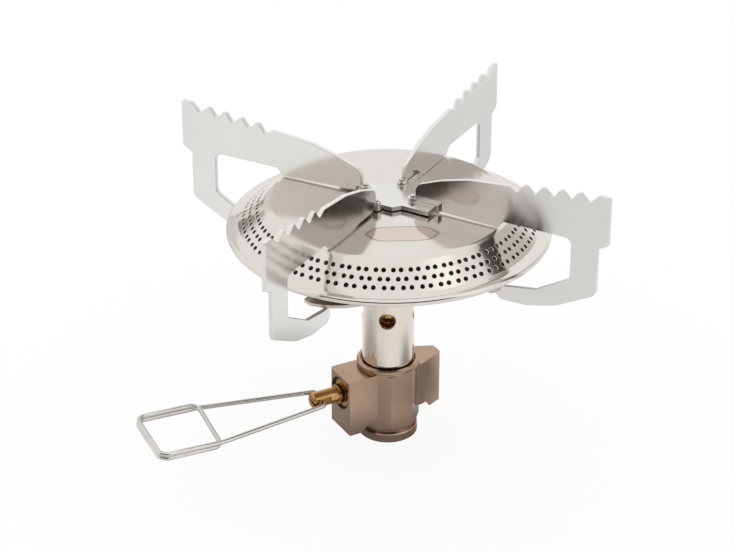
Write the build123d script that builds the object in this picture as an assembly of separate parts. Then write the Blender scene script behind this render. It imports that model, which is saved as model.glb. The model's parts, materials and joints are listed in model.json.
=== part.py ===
from build123d import *

import os
from math import atan, cos, degrees, radians, sin, sqrt

# A folding camping stove that screws on a gas cartridge.
#
# Frame: millimetres, +Z up. The origin is the centre of the cartridge socket's mouth, on the
# burner's axis. The four pot supports lie along +X, +Y, -X and -Y when they are open.
# Heights are stacked from the mouth up, and radii of the head are counted in from its rim.

# ---------------------------------------------------------------- fits and clearances
seat_clear = 0.05      # radial room of a screwed or pushed-in piece that doesn't turn
run_clear = 0.06       # radial room of a pin or shaft that turns
slide_clear = 0.3      # room between sheets that swing past each other
stop_clear = 0.15      # room between a support's side and its open stop

# ---------------------------------------------------------------- valve body
socket_r = 5.556       # 7/16 inch cartridge thread, at its outer diameter
socket_depth = 6.6
collar_r = 10.4
collar_h = 3.5
groove_r = 9.3
groove_h = 1.4
body_flats = 20.4      # across the octagon's flats
body_h = 22.7          # octagon, above the groove
lip_r = 10.95
lip_h = 1.5
nut_chamfer = 1.3      # turned corners at both ends of the octagon
tube_recess_gap = 0.6
tube_recess_h = 1.8
valve_azimuth = 238.0  # direction of the spindle, seen from above
spindle_z = 19.8
block_w = 13.2
block_out = 19.0       # end face from the burner's axis
block_low = 5.7
block_high = 27.0
undercut_in = 10.0     # the block's lower inner edge is cut back to clear the cartridge
undercut_out = 14.3
undercut_rise = 3.4
wing_out = 19.7
wing_tip_w = 4.8
wing_low = 7.6
wing_notch = 2.8

# ---------------------------------------------------------------- gas way in the body
seal_r = 6.1
seal_wire = 1.9
seal_room = 0.1
chamber_r = 3.2
chamber_h = 3.4
depressor_t = 1.2
depressor_pin_r = 1.0
depressor_pin_l = 2.0  # ends above the thread, so a plain plug can seat in the socket
filter_t = 1.6
filter_gap = 0.2
passage_r = 0.9
inlet_out = 5.6        # the inlet passage lies this far out from the axis
orifice_r = 0.5

# ---------------------------------------------------------------- spindle and its nut
shaft_r = 2.5
gland_r = 5.0
gland_deep = 12.0      # inner end of the gland nut from the burner's axis
gland_recess = 0.7     # the nut's face lies this far inside the block's end face
ring_recess_r = 5.9
ring_recess_d = 1.3
oring_wire = 1.05
needle_tip = 0.3       # both ends of the cone, from the burner's axis
needle_root = 3.2
needle_root_r = 1.1
neck_r = 1.6           # slim stretch behind the cone, where the gas comes in
neck_end = 7.2
spindle_collar_r = 3.5
spindle_collar_l = 1.9
stem_r = 2.8
stem_end = 30.2        # outer end of the stem from the burner's axis
stem_flats = 4.4
flats_l = 5.6
slot_w = 1.0
slot_d = 2.0
pivot_out = 26.6       # cross hole from the burner's axis

# ---------------------------------------------------------------- wire handle
wire_r = 0.8
handle_roll = 11.5     # turn of the handle's plane about the spindle at rest
handle_lift = 4.0      # the handle's rise from its cross hole at rest
strand_gap = 3.8       # half the strands' distance at the cross hole
wire_grip = 1.5        # length of a wire end inside the stem
coil_near = 42.6       # from the cross hole
coil_far = 65.2
coil_half_w = 10.2
coil_bend = 3.0
wire_pitch = 1.65      # from one turn of the coil to the next
wire_bend = 1.7

# ---------------------------------------------------------------- burner tube and jet
tube_r = 9.02
tube_wall = 0.9
tube_seat_z = 23.6     # floor of the tube's seat in the body
tube_l = 45.8          # seat to shoulder
shank_r = 8.0
shank_wall = 0.9
shank_l = 6.0
air_hole_r = 2.9
air_hole_z = 47.9
air_hole_azimuth = -63.5
air_hole_count = 4
riser_thread_r = 2.5
riser_thread_l = 2.4
riser_foot_r = 4.2
riser_foot_h = 2.5
riser_r = 3.0
riser_l = 17.0
riser_head_r = 7.6     # flange that closes the tube's bore under the air holes
riser_head_h = 2.4
jet_flats = 5.5
jet_hex_h = 1.0
jet_tip_h = 0.5
jet_spigot_r = 1.7
jet_spigot_l = 2.5
jet_bore_r = 0.25

# ---------------------------------------------------------------- burner head
rim_r = 55.0
lower_plate_t = 1.2
bowl_t = 0.8
cap_t = 0.6
hem_w = 2.4            # rolled rim, and the flat ring on top of it
flange_w = 3.0         # rim to the bowl's flare
flare_w = 13.5         # flare, from the flange in to the bowl's floor
head_rim_h = 10.4      # bowl's underside to the top of the rim
cap_rise = 9.5         # rim to the crown
crown_r = 6.0
crown_step = 0.3
shoulder_drop = 0.9    # crown to shoulder
slope_w = 9.4          # holed slope, from the shoulder out
foot_w = 1.7           # gentle stretch between the slope and the flat rim
band_rise = 0.6
hem_bend = 0.25        # inner radius of the rolled rim's bends
hole_r = 0.78
row_out = (3.1, 5.5, 7.8)   # rows of holes, from the shoulder
pair_count = 50
pair_angle = 3.15      # between the two holes of a pair
row_turn = 1.8         # each row is turned this far past the row inside it
row_azimuth = -57.9
tube_nut_r = 12.0
tube_nut_h = 3.0
nut_notch_w = 3.0
baffle_r = 30.0
baffle_t = 0.6
baffle_drop = 8.0      # crown's underside to the baffle
baffle_hole_r = 2.5
baffle_hole_count = 12
rivet_r = 2.0
rivet_shoulder_r = 3.4
rivet_head_h = 1.0
rivet_bite = 1.0       # depth of the rivet in the pivot plate

# ---------------------------------------------------------------- lower plate
lobe_room = 0.35       # from a lobe's clockwise side to the neighbour's folded support
lobe_corner_in = 11.7  # where that side ends, from the rim inwards
lobe_tip = (10.4, -5.2)    # from the rim inwards, and sideways
lobe_bulge = (12.7, 3.0)   # on the arc from the tip to the lobe's other side
lobe_end = (18.2, 9.6)
lobe_foot = (22.6, 13.3)   # where the lobe meets the plate's round core
latch_in = 17.0        # latch slot, from the rim inwards
latch_w = 4.0
latch_t = 1.2

# ---------------------------------------------------------------- pivot plate
pivot_r = 9.0          # hinge pins from the burner's axis
pivot_plate_t = 1.5
arm_out = 17.7
arm_side = 5.3
fold_edge = 8.0
fold_corner = (5.5, 7.7)
ear_out = 19.8
ear_l = 1.6
ear_t = 1.1
ear_h = 1.5
lip_strip_h = 0.6
lip_strip_in = 10.8
pin_r = 0.8
pin_head_r = 1.05
pin_head_h = 0.3
pin_boss_r = 1.8
pin_boss_h = 0.4

# ---------------------------------------------------------------- pot supports
sheet_t = 1.5
rest_swing = (0.0, 0.5, 1.7, 0.0)   # play of each open support, in degrees from its stop
knuckle_r = 1.65
knuckle_h = 1.0
blade_end_h = 6.4      # inner end of a blade over the pivot plate
blade_end_bend = 3.6
support_lift = 0.5     # lower edge of a blade over the cap, at the shoulder
foot_lift = 0.85       # and near the pin
tip_rise = 18.1        # tip over the pivot plate
tip_drop = 17.0        # height of the tip's outer edge
tip_overhang = 3.6
tip_slant = 2.0
leg_gap = 12.5         # rim to leg
leg_w = 9.5
window_rise = 0.6      # upper edge of the window over the pivot plate
hook_in = 14.3         # hook's inner end from the rim
hook_h = 5.3
hook_end = 3.8
tooth_pitch = 6.4
tooth_count = 4
tooth_h = 2.9
tooth_rise = 0.4       # a peak's corner over the sloping line, before rounding
tooth_root = 0.8       # radius in a valley
tooth_round = 1.1      # radius on a peak
tooth_lead = 3.6       # peak to the next valley outwards
tip_flat = 4.0
top_slope = 0.1

# ---------------------------------------------------------------- heights and radii that follow
body_low = collar_h + groove_h
body_high = body_low + body_h
lip_z = body_high + lip_h
chamber_z = socket_depth + seal_wire + seal_room
shoulder_z = tube_seat_z + tube_l
bowl_z = shoulder_z + lower_plate_t
rim_z = bowl_z + head_rim_h
crown_z = rim_z + cap_rise
plate_top = crown_z + pivot_plate_t
hem_z = rim_z - 2 * cap_t - bowl_t - 2 * seat_clear
cap_outer_z = crown_z - shoulder_drop
flat_rim_r = rim_r - hem_w
band_r = flat_rim_r - foot_w
shoulder_r = band_r - slope_w
bowl_flare_r = rim_r - flange_w
bowl_floor_r = bowl_flare_r - flare_w
knuckle_z = plate_top + pin_boss_h + stop_clear
knuckle_top = knuckle_z + knuckle_h
support_count = len(rest_swing)
gland_face = block_out - gland_recess
collar_in = gland_face + stop_clear
gallery_z = chamber_z + chamber_h - 1.0


# ================================================================ building helpers
def disc(radius, low, high):
    """Solid cylinder on the burner's axis between two heights."""
    return Pos(0, 0, low) * Cylinder(radius, high - low, align=(Align.CENTER, Align.CENTER, Align.MIN))


def sleeve(outer, inner, low, high):
    """Hollow cylinder on the burner's axis."""
    return disc(outer, low, high) - disc(inner, low - 1, high + 1)


def spun(points):
    """Closed outline of (radius, height) points turned about the burner's axis."""
    outline = make_face(Polyline(*points, close=True))
    return revolve(Plane.XZ * outline, Axis.Z, 360)


def pressed(points, bends, thickness):
    """Sheet metal turned about the axis.

    The points run along one side of the sheet, which is the left side on the way, and bends holds the
    radius of each inner corner on that side. The other side lies one thickness to the right.
    """
    path = [Vector(x, y) for x, y in points]
    ways = [(b - a).normalized() for a, b in zip(path, path[1:])]
    rights = [Vector(way.Y, -way.X) for way in ways]
    inner = [path[0] + rights[0] * thickness]
    inner_bends = []
    for corner, way, after, right, bend in zip(path[1:], ways, ways[1:], rights, bends):
        turn = way.X * after.Y - way.Y * after.X
        half = sqrt((1 + way.dot(after)) / 2)
        half_tan = sqrt(max(0.0, 1 - half * half)) / half
        shift = half_tan if turn > 0 else -half_tan
        inner.append(corner + right * thickness + way * shift * thickness)
        inner_bends.append(max(0.05, bend + thickness if turn > 0 else bend - thickness))
    inner.append(path[-1] + rights[-1] * thickness)
    top = FilletPolyline(*path, radius=bends)
    low = FilletPolyline(*inner, radius=inner_bends)
    ends = [Line(path[0], inner[0]), Line(path[-1], inner[-1])]
    section = make_face(Wire([*top.edges(), *low.edges(), ends[0].edge(), ends[1].edge()]))
    return revolve(Plane.XZ * section, Axis.Z, 360)


def around(shape, count, start=0.0):
    """Copies of a shape, evenly turned about the burner's axis."""
    return [Rot(0, 0, start + 360 * step / count) * shape for step in range(count)]


def on_valve(shape):
    """Turns a shape made with the spindle along +X to the valve's azimuth."""
    return Rot(0, 0, valve_azimuth) * shape


def rod(radius, start, end):
    """Cylinder along the spindle's axis, before it is turned to its azimuth."""
    stretch = Cylinder(radius, end - start, align=(Align.CENTER, Align.CENTER, Align.MIN))
    return Pos(start, 0, spindle_z) * Rot(0, 90, 0) * stretch


def block(x_range, y_range, z_range):
    """Box between two values on each axis."""
    spans = [x_range, y_range, z_range]
    sizes = [high - low for low, high in spans]
    middle = [(high + low) / 2 for low, high in spans]
    return Pos(*middle) * Box(*sizes)


def octagon_prism(flats, low, high):
    """Octagon with a flat facing the spindle."""
    outline = RegularPolygon(flats / 2, 8, major_radius=False)
    face_turn = 0 if abs(max(v.X for v in outline.vertices()) - flats / 2) < 0.01 else 22.5
    return Pos(0, 0, low) * extrude(Rot(0, 0, face_turn) * outline, high - low)


# ================================================================ valve body
def make_valve_body():
    """Turned and milled aluminium body with all its bores."""
    corner_r = body_flats / 2 / cos(radians(22.5))
    turned = spun([
        (0, body_low - 0.5), (corner_r - nut_chamfer, body_low - 0.5), (corner_r - nut_chamfer, body_low),
        (corner_r + 0.2, body_low + nut_chamfer), (corner_r + 0.2, body_high - nut_chamfer),
        (corner_r - nut_chamfer, body_high), (0, body_high),
    ])
    body = octagon_prism(body_flats, body_low, body_high) & turned

    half = block_w / 2
    side = [
        (0, block_low + undercut_rise), (undercut_in, block_low + undercut_rise), (undercut_out, block_low),
        (block_out, block_low), (block_out, block_high), (0, block_high),
    ]
    arm = extrude(Plane.XZ * make_face(Polyline(*side, close=True)), half, both=True)
    end_edges = arm.edges().filter_by(lambda edge: edge.center().X > block_out - 0.01)
    arm = chamfer(end_edges, 0.35)

    plan = [(0, -half), (0, half), (-body_flats / 2, half), (-wing_out, wing_tip_w / 2),
            (-wing_out, -wing_tip_w / 2), (-body_flats / 2, -half)]
    wing = Pos(0, 0, wing_low) * extrude(make_face(Polyline(*plan, close=True)), block_high - wing_low)
    notch = [(0, wing_low - 1), (-undercut_out, wing_low - 1), (-undercut_out, wing_low),
             (-undercut_out + wing_notch * 0.6, wing_low + wing_notch), (0, wing_low + wing_notch)]
    wing -= extrude(Plane.XZ * make_face(Polyline(*notch, close=True)), block_w, both=True)
    tip_edges = wing.edges().filter_by(Axis.Z).filter_by(lambda edge: edge.center().X < 0.3 - wing_out)
    wing = fillet(tip_edges, 0.8)

    body = on_valve(body + arm + wing)
    body += disc(collar_r, 0.4, collar_h - 0.4) + disc(groove_r, 0, body_low + 0.5)
    body += spun([(0, 0), (collar_r - 0.5, 0), (collar_r, 0.5), (collar_r, collar_h - 0.3),
                  (collar_r - 0.3, collar_h), (0, collar_h)])
    body += spun([(0, body_high - 0.5), (lip_r - 0.5, body_high - 0.5), (lip_r - 0.5, body_high - 0.1),
                  (lip_r, body_high + 0.4), (lip_r, lip_z - 0.4), (lip_r - 0.4, lip_z), (0, lip_z)])

    tube_bore = tube_r + seat_clear
    body -= disc(tube_bore, tube_seat_z, lip_z + 1)
    body -= disc(tube_bore + tube_recess_gap, lip_z - tube_recess_h, lip_z + 1)
    body -= disc(riser_thread_r + seat_clear, tube_seat_z - riser_thread_l, tube_seat_z + 1)

    body -= disc(socket_r, -1, socket_depth)
    body -= disc(seal_r + seat_clear, socket_depth, chamber_z)
    body -= disc(chamber_r + seat_clear, chamber_z, chamber_z + chamber_h)

    cone_r = needle_root_r + run_clear
    seat = Cone(cone_r, orifice_r, needle_root, align=(Align.CENTER, Align.CENTER, Align.MIN))
    cuts = [
        rod(ring_recess_r, block_out - ring_recess_d, block_out + 1),
        rod(gland_r + seat_clear, gland_deep, block_out + 1),
        rod(shaft_r + run_clear, needle_root, gland_deep + 1),
        Pos(needle_root, 0, spindle_z) * Rot(0, -90, 0) * seat,
        Pos(inlet_out, 0, 0) * disc(passage_r, gallery_z, spindle_z),
        block((0, inlet_out), (-passage_r, passage_r), (gallery_z, gallery_z + passage_r)),
    ]
    for cut in cuts:
        body -= on_valve(cut)
    return body - disc(passage_r, spindle_z, tube_seat_z)


def make_cartridge_seal():
    """Rubber ring at the socket's floor, held in its groove."""
    middle = seal_r - seal_wire / 2
    section = Pos(middle, 0, 0) * Circle(seal_wire / 2)
    ring = revolve(Plane.XZ * section, Axis.Z, 360)
    return Pos(0, 0, chamber_z - seal_wire / 2 - seal_room / 2) * ring


def make_depressor():
    """Brass disc with a pin that opens the cartridge's own valve."""
    low = chamber_z + filter_gap
    part = disc(chamber_r, low, low + depressor_t) + disc(depressor_pin_r, low - depressor_pin_l, low + 0.5)
    ways = around(Pos(chamber_r * 0.65, 0, 0) * disc(0.5, low - 1, low + depressor_t + 1), 4, 45)
    return part - ways


def make_inlet_filter():
    """Sintered disc above the depressor."""
    low = chamber_z + filter_gap + depressor_t
    return disc(chamber_r, low, low + filter_t)


# ================================================================ spindle side
def make_gland_nut():
    """Brass nut that closes the spindle's bore and presses its O-ring."""
    groove_l = oring_wire + 0.25
    nut = rod(gland_r, gland_deep, gland_face)
    nut -= rod(shaft_r + run_clear, gland_deep - 1, gland_face + 1)
    nut -= rod(shaft_r + oring_wire + 0.1, gland_deep - 1, gland_deep + groove_l)
    return on_valve(nut)


def valve_ring(middle_r, wire, out):
    """Rubber ring round the spindle's axis, its middle plane at the given distance out."""
    section = Pos(middle_r, 0, 0) * Circle(wire / 2)
    ring = revolve(Plane.XZ * section, Axis.Z, 360)
    return on_valve(Pos(out, 0, spindle_z) * Rot(0, 90, 0) * ring)


def make_spindle_oring():
    """Sealing ring between the spindle and the gland nut."""
    return valve_ring(shaft_r + run_clear + oring_wire / 2 + 0.02, oring_wire, gland_deep + oring_wire / 2 + 0.1)


def make_dust_ring():
    """Black rubber ring that fills the recess round the gland nut."""
    inner = gland_r + seat_clear
    outer = ring_recess_r - seat_clear
    low = block_out - ring_recess_d
    return on_valve(rod(outer, low, block_out - 0.4) - rod(inner, low - 1, block_out))


def make_spindle():
    """Brass needle spindle: cone, shaft, collar, flatted stem with a cross hole and a slot."""
    cone_l = needle_root - needle_tip
    tip_r = orifice_r + (needle_root_r - orifice_r) * needle_tip / needle_root - 0.02
    needle = Cone(needle_root_r, tip_r, cone_l, align=(Align.CENTER, Align.CENTER, Align.MIN))
    part = Pos(needle_root + seat_clear, 0, spindle_z) * Rot(0, -90, 0) * needle
    part += rod(neck_r, needle_root + seat_clear, neck_end)
    part += rod(shaft_r, neck_end, collar_in + 0.5)
    part += rod(spindle_collar_r, collar_in, collar_in + spindle_collar_l)
    stem = rod(stem_r, collar_in, stem_end)
    stem = chamfer(stem.edges().filter_by(lambda edge: edge.center().X > stem_end - 0.01), 0.5)
    part += stem
    part -= [
        block((pivot_out - flats_l / 2, pivot_out + flats_l / 2), (stem_flats / 2, stem_r + 1),
              (spindle_z - stem_r - 1, spindle_z + stem_r + 1)),
        block((pivot_out - flats_l / 2, pivot_out + flats_l / 2), (-stem_r - 1, -stem_flats / 2),
              (spindle_z - stem_r - 1, spindle_z + stem_r + 1)),
        block((stem_end - slot_d, stem_end + 1), (-stem_r - 1, stem_r + 1),
              (spindle_z - slot_w / 2, spindle_z + slot_w / 2)),
    ]
    cross = Cylinder(wire_r + run_clear, 4 * stem_r)
    part -= Pos(pivot_out, 0, spindle_z) * Rot(90, 0, 0) * cross
    rolled = Pos(0, 0, spindle_z) * Rot(-handle_roll, 0, 0) * Pos(0, 0, -spindle_z) * part
    return on_valve(rolled)


def handle_route():
    """Corner points of the wire, in the handle's own plane: along the spindle, across it, and up."""
    wide = coil_half_w
    down = -wire_pitch
    return [
        (0, stem_flats / 2 - wire_grip, 0), (0, strand_gap, 0), (coil_near, wide, 0), (coil_far, wide, 0),
        (coil_far, -wide, 0), (coil_near, -wide, 0), (coil_near, wide, down), (coil_far, wide, down),
        (coil_far, -wide, down), (coil_near, -wide, down), (0, -strand_gap, 0),
        (0, wire_grip - stem_flats / 2, 0),
    ]


def make_wire_handle():
    """One length of wire: near strand, a turn and three quarters of rectangle, and the far strand."""
    route = handle_route()
    bends = [wire_bend, 8 * wire_bend] + [coil_bend] * 6 + [8 * wire_bend, wire_bend]
    path = FilletPolyline(*route, radius=bends)
    start = Plane(origin=path @ 0, z_dir=path % 0)
    wire = sweep(start * Circle(wire_r), path=path.wire())
    posed = Rot(-handle_roll, 0, 0) * Rot(0, -handle_lift, 0) * wire
    return on_valve(Pos(pivot_out, 0, spindle_z) * posed)


# ================================================================ burner tube, riser and jet
def make_burner_tube():
    """Mixing tube with a threaded shank on top and four air holes."""
    tube = sleeve(tube_r, tube_r - tube_wall, tube_seat_z, shoulder_z - 1.5)
    tube += sleeve(tube_r, shank_r - shank_wall, shoulder_z - 2.0, shoulder_z)
    tube += sleeve(shank_r, shank_r - shank_wall, shoulder_z - 0.5, shoulder_z + shank_l)
    hole = Pos(tube_r, 0, air_hole_z) * Rot(0, 90, 0) * Cylinder(air_hole_r, 4 * tube_wall)
    return tube - around(hole, air_hole_count, air_hole_azimuth)


def make_gas_riser():
    """Brass pipe that carries the gas up to the jet, with a flange just under the air holes."""
    foot_z = tube_seat_z + riser_foot_h
    riser = disc(riser_thread_r, tube_seat_z - riser_thread_l, tube_seat_z + 0.5)
    riser += disc(riser_foot_r, tube_seat_z, foot_z) + disc(riser_r, foot_z - 0.5, foot_z + riser_l)
    riser += disc(riser_head_r, foot_z + riser_l - riser_head_h, foot_z + riser_l)
    riser -= disc(passage_r, 0, foot_z + riser_l + 1)
    return riser - disc(jet_spigot_r + seat_clear, foot_z + riser_l - jet_spigot_l, foot_z + riser_l + 1)


def make_jet():
    """Brass nozzle screwed into the riser: low hexagon, cone and a fine bore."""
    low = tube_seat_z + riser_foot_h + riser_l
    hexagon = Pos(0, 0, low) * extrude(RegularPolygon(jet_flats / 2, 6, major_radius=False), jet_hex_h)
    tip = Cone(jet_flats / 2 - 0.4, 1.0, jet_tip_h, align=(Align.CENTER, Align.CENTER, Align.MIN))
    jet = hexagon + Pos(0, 0, low + jet_hex_h) * tip + disc(jet_spigot_r, low - jet_spigot_l + 0.2, low + 0.5)
    jet -= disc(jet_bore_r, 0, low + jet_hex_h + jet_tip_h + 1)
    return jet - disc(passage_r, 0, low + jet_hex_h)


# ================================================================ burner head
def make_burner_bowl():
    """Pressed bowl: flat floor on the lower plate, flare, and a flange inside the cap's hem."""
    flange_z = hem_z + cap_t + seat_clear
    hole = shank_r + seat_clear
    edge = rim_r - cap_t - hem_bend
    outside = [(edge, flange_z), (bowl_flare_r, flange_z), (bowl_floor_r, bowl_z), (hole, bowl_z)]
    return pressed(outside, [2.0, 6.0], bowl_t)


def cap_line():
    """Upper side of the cap from its crown to the hem, with the radius of each bend."""
    points = [
        (0, crown_z), (crown_r, crown_z), (crown_r + 1.5, crown_z - crown_step), (shoulder_r, cap_outer_z),
        (band_r, rim_z + band_rise), (flat_rim_r, rim_z), (rim_r, rim_z),
        (rim_r, hem_z), (flat_rim_r, hem_z),
    ]
    return points, [2.0, 2.0, 3.0, 1.6, 3.0, cap_t + hem_bend, cap_t + hem_bend]


def cap_height(radius):
    """Height of the cap's upper side at a radius, between its corner points."""
    points, _ = cap_line()
    for (r_in, z_in), (r_out, z_out) in zip(points, points[1:]):
        if r_in <= radius <= r_out and r_out > r_in:
            return z_in + (z_out - z_in) * (radius - r_in) / (r_out - r_in)
    return rim_z


def flame_holes():
    """All the round holes of the three rows, square to the slope."""
    fall = degrees(atan((cap_outer_z - rim_z - band_rise) / (band_r - shoulder_r)))
    drill = Cylinder(hole_r, 6 * cap_t)
    holes = []
    for row, out in enumerate(row_out):
        radius = shoulder_r + out
        placed = Pos(radius, 0, cap_height(radius)) * Rot(0, fall, 0) * drill
        for side in (-pair_angle / 2, pair_angle / 2):
            holes += around(placed, pair_count, row_azimuth + row * row_turn + side)
    return holes


def make_burner_cap():
    """Pressed cover with its flame holes, its rim rolled over the bowl's flange."""
    points, bends = cap_line()
    cap = pressed(points, bends, cap_t)
    cap -= disc(rivet_r + seat_clear, crown_z - 3, crown_z + 1)
    return cap - flame_holes()


def make_tube_nut():
    """Ring nut that clamps the bowl and the lower plate on the tube's shoulder."""
    low = bowl_z + bowl_t
    nut = sleeve(tube_nut_r, shank_r + seat_clear, low, low + tube_nut_h)
    notch = block((tube_nut_r - 1.5, tube_nut_r + 1), (-nut_notch_w / 2, nut_notch_w / 2),
                  (low + 0.8, low + tube_nut_h + 1))
    return nut - around(notch, 4)


def make_baffle():
    """Holed disc that spreads the gas under the cap."""
    top = crown_z - cap_t - baffle_drop
    plate = sleeve(baffle_r, rivet_r + seat_clear, top - baffle_t, top)
    hole = Pos(baffle_r * 0.7, 0, 0) * disc(baffle_hole_r, top - 2, top + 2)
    return plate - around(hole, baffle_hole_count)


def make_head_rivet():
    """Stepped rivet that ties the pivot plate, the cap and the baffle together."""
    under_cap = crown_z - cap_t
    baffle_top = under_cap - baffle_drop
    baffle_low = baffle_top - baffle_t
    rivet = disc(rivet_r, baffle_low - 0.5, crown_z + rivet_bite)
    rivet += disc(rivet_shoulder_r, baffle_top, under_cap)
    return rivet + disc(rivet_shoulder_r, baffle_low - rivet_head_h, baffle_low)


# ================================================================ plates
def make_lower_plate():
    """Plate on the tube's shoulder, with a lobe over the hook of each open support.

    A lobe's clockwise side is straight and lies beside the neighbour's folded support. Its other side
    curves in, so that a support leaves its lobe soon after it starts to fold.
    """
    tip, bulge, end, foot = [(rim_r - inward, across) for inward, across in (lobe_tip, lobe_bulge, lobe_end, lobe_foot)]
    lobe_side = pivot_r - sheet_t / 2 - lobe_room
    lobe_corner = rim_r - lobe_corner_in
    latch_r = rim_r - latch_in
    core_r = sqrt(foot[0] ** 2 + foot[1] ** 2)
    side_start = (sqrt(core_r ** 2 - lobe_side ** 2), -lobe_side)
    core_end = (lobe_side, side_start[0])
    core_middle = (core_r * cos(radians(50)), core_r * sin(radians(50)))
    quarter = [
        Line(side_start, (lobe_corner, -lobe_side)),
        Line((lobe_corner, -lobe_side), tip),
        ThreePointArc(tip, bulge, end),
        Line(end, foot),
        ThreePointArc(foot, core_middle, core_end),
    ]
    edges = [Rot(0, 0, 90 * step) * line.edge() for step in range(support_count) for line in quarter]
    outline = make_face(Wire(edges)) - Circle(shank_r + seat_clear)
    plate = Pos(0, 0, shoulder_z) * extrude(outline, lower_plate_t)
    slot = block((latch_r - latch_t / 2, latch_r + latch_t / 2), (-latch_w / 2, latch_w / 2),
                 (shoulder_z - 1, bowl_z + 1))
    return plate - around(slot, support_count)


def make_pivot_plate():
    """Pinwheel plate with a pin boss, a lip strip and an upturned ear for each support."""
    near = -sheet_t / 2 - stop_clear
    far = near - ear_t
    corner = [(arm_out, -arm_side), (arm_out, far), (ear_out, far), (ear_out, near), (fold_edge, near),
              (fold_edge, fold_corner[0]), (arm_side, fold_corner[1])]
    outline = []
    for step in range(support_count):
        turn = radians(360 * step / support_count)
        outline += [(x * cos(turn) - y * sin(turn), x * sin(turn) + y * cos(turn)) for x, y in corner]
    plate = Pos(0, 0, crown_z) * extrude(make_face(Polyline(*outline, close=True)), pivot_plate_t)
    boss = Pos(pivot_r, 0, 0) * disc(pin_boss_r, crown_z, plate_top + pin_boss_h)
    ear = block((ear_out - ear_l, ear_out), (far, near), (crown_z, plate_top + ear_h))
    strip = block((lip_strip_in, ear_out - ear_l), (far, near), (plate_top - 0.5, plate_top + lip_strip_h))
    hole = Pos(pivot_r, 0, 0) * disc(pin_r + seat_clear / 2, crown_z - 1, plate_top + pin_boss_h + 1)
    plate += around(boss, support_count) + around(ear, support_count) + around(strip, support_count)
    plate -= around(hole, support_count)
    return plate - disc(rivet_r + seat_clear, crown_z - 1, crown_z + rivet_bite + seat_clear)


def make_hinge_pin():
    """Pin of one support, riveted flush in the pivot plate, with a small head above the knuckle."""
    head_z = knuckle_top + stop_clear
    pin = disc(pin_r, crown_z, head_z + pin_head_h) + disc(pin_head_r, head_z, head_z + pin_head_h)
    return Pos(pivot_r, 0, 0) * pin


# ================================================================ pot supports
def support_outline():
    """Corner points (radius, height) and corner radii of a support's sheet, from the tip inwards."""
    top = plate_top + tip_rise
    leg_in = rim_r + leg_gap
    leg_out = leg_in + leg_w
    tip = leg_out + tip_overhang
    corners = [((tip, top), 0.9)]
    first_valley = tip - tip_flat - tooth_h - 0.6
    for tooth in range(tooth_count + 1):
        valley = first_valley - tooth * tooth_pitch
        drop = top_slope * (tip - tip_flat - valley)
        if tooth == 0:
            corners.append(((tip - tip_flat, top), 0.8))
        corners.append(((valley, top - drop - tooth_h), tooth_root))
        peak = valley - tooth_lead
        if tooth < tooth_count:
            corners.append(((peak, top - drop + tooth_rise), tooth_round))
    last_peak = first_valley - tooth_count * tooth_pitch - tooth_lead + 0.6
    shoulder_top = top - top_slope * (tip - last_peak)
    pivot_end = pivot_r + knuckle_r - 0.4
    mid = last_peak - pivot_end
    corners += [
        ((last_peak, shoulder_top - 0.4), 0.8),
        ((last_peak - 0.42 * mid, shoulder_top - 1.7), 25.0),
        ((last_peak - 0.72 * mid, shoulder_top - 4.4), 25.0),
        ((pivot_end, plate_top + blade_end_h), blade_end_bend),
        ((pivot_end, knuckle_z), 0.0),
        ((pivot_r + pin_boss_r + 1.2, knuckle_z), 0.3),
        ((pivot_r + pin_boss_r + 1.5, cap_height(pivot_r + pin_boss_r + 1.5) + foot_lift), 0.5),
        ((shoulder_r - 0.5, cap_outer_z + support_lift), 0.5),
        ((shoulder_r + 1.5, plate_top + window_rise), 0.8),
        ((leg_in, plate_top + window_rise), 2.5),
    ]
    hook_top = shoulder_z - slide_clear
    hook_tip = rim_r - hook_in
    low = hook_top - hook_h
    window_low = hook_top + 8.8
    corners += [
        ((leg_in, window_low), 2.0),
        ((rim_r + 0.2, hook_top + 1.6), 3.0),
        ((hook_tip + hook_end, hook_top), 0.5),
        ((hook_tip + 0.6, hook_top), 0.8),
        ((hook_tip, hook_top - 0.6 * hook_h), 1.2),
        ((hook_tip + 2.2, low), 2.0),
        ((rim_r - 2.5, low + 0.2), 12.0),
        ((rim_r + 8.0, low + 2.9), 14.0),
        ((leg_out, low + 10.3), 3.5),
        ((leg_out, plate_top + tip_rise - tip_drop - tip_slant), 0.8),
        ((tip, plate_top + tip_rise - tip_drop), 0.8),
    ]
    return corners


def make_pot_support():
    """Support along +X: toothed C-shaped sheet with a low rolled knuckle round its pin."""
    corners = support_outline()
    outline = FilletPolyline(*[point for point, _ in corners], radius=[bend for _, bend in corners], close=True)
    sheet = extrude(Plane.XZ * make_face(outline), sheet_t / 2, both=True)
    sheet += Pos(pivot_r, 0, 0) * disc(knuckle_r, knuckle_z, knuckle_top)
    return sheet - Pos(pivot_r, 0, 0) * disc(pin_r + run_clear, knuckle_z - 5, knuckle_top + 5)


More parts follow.
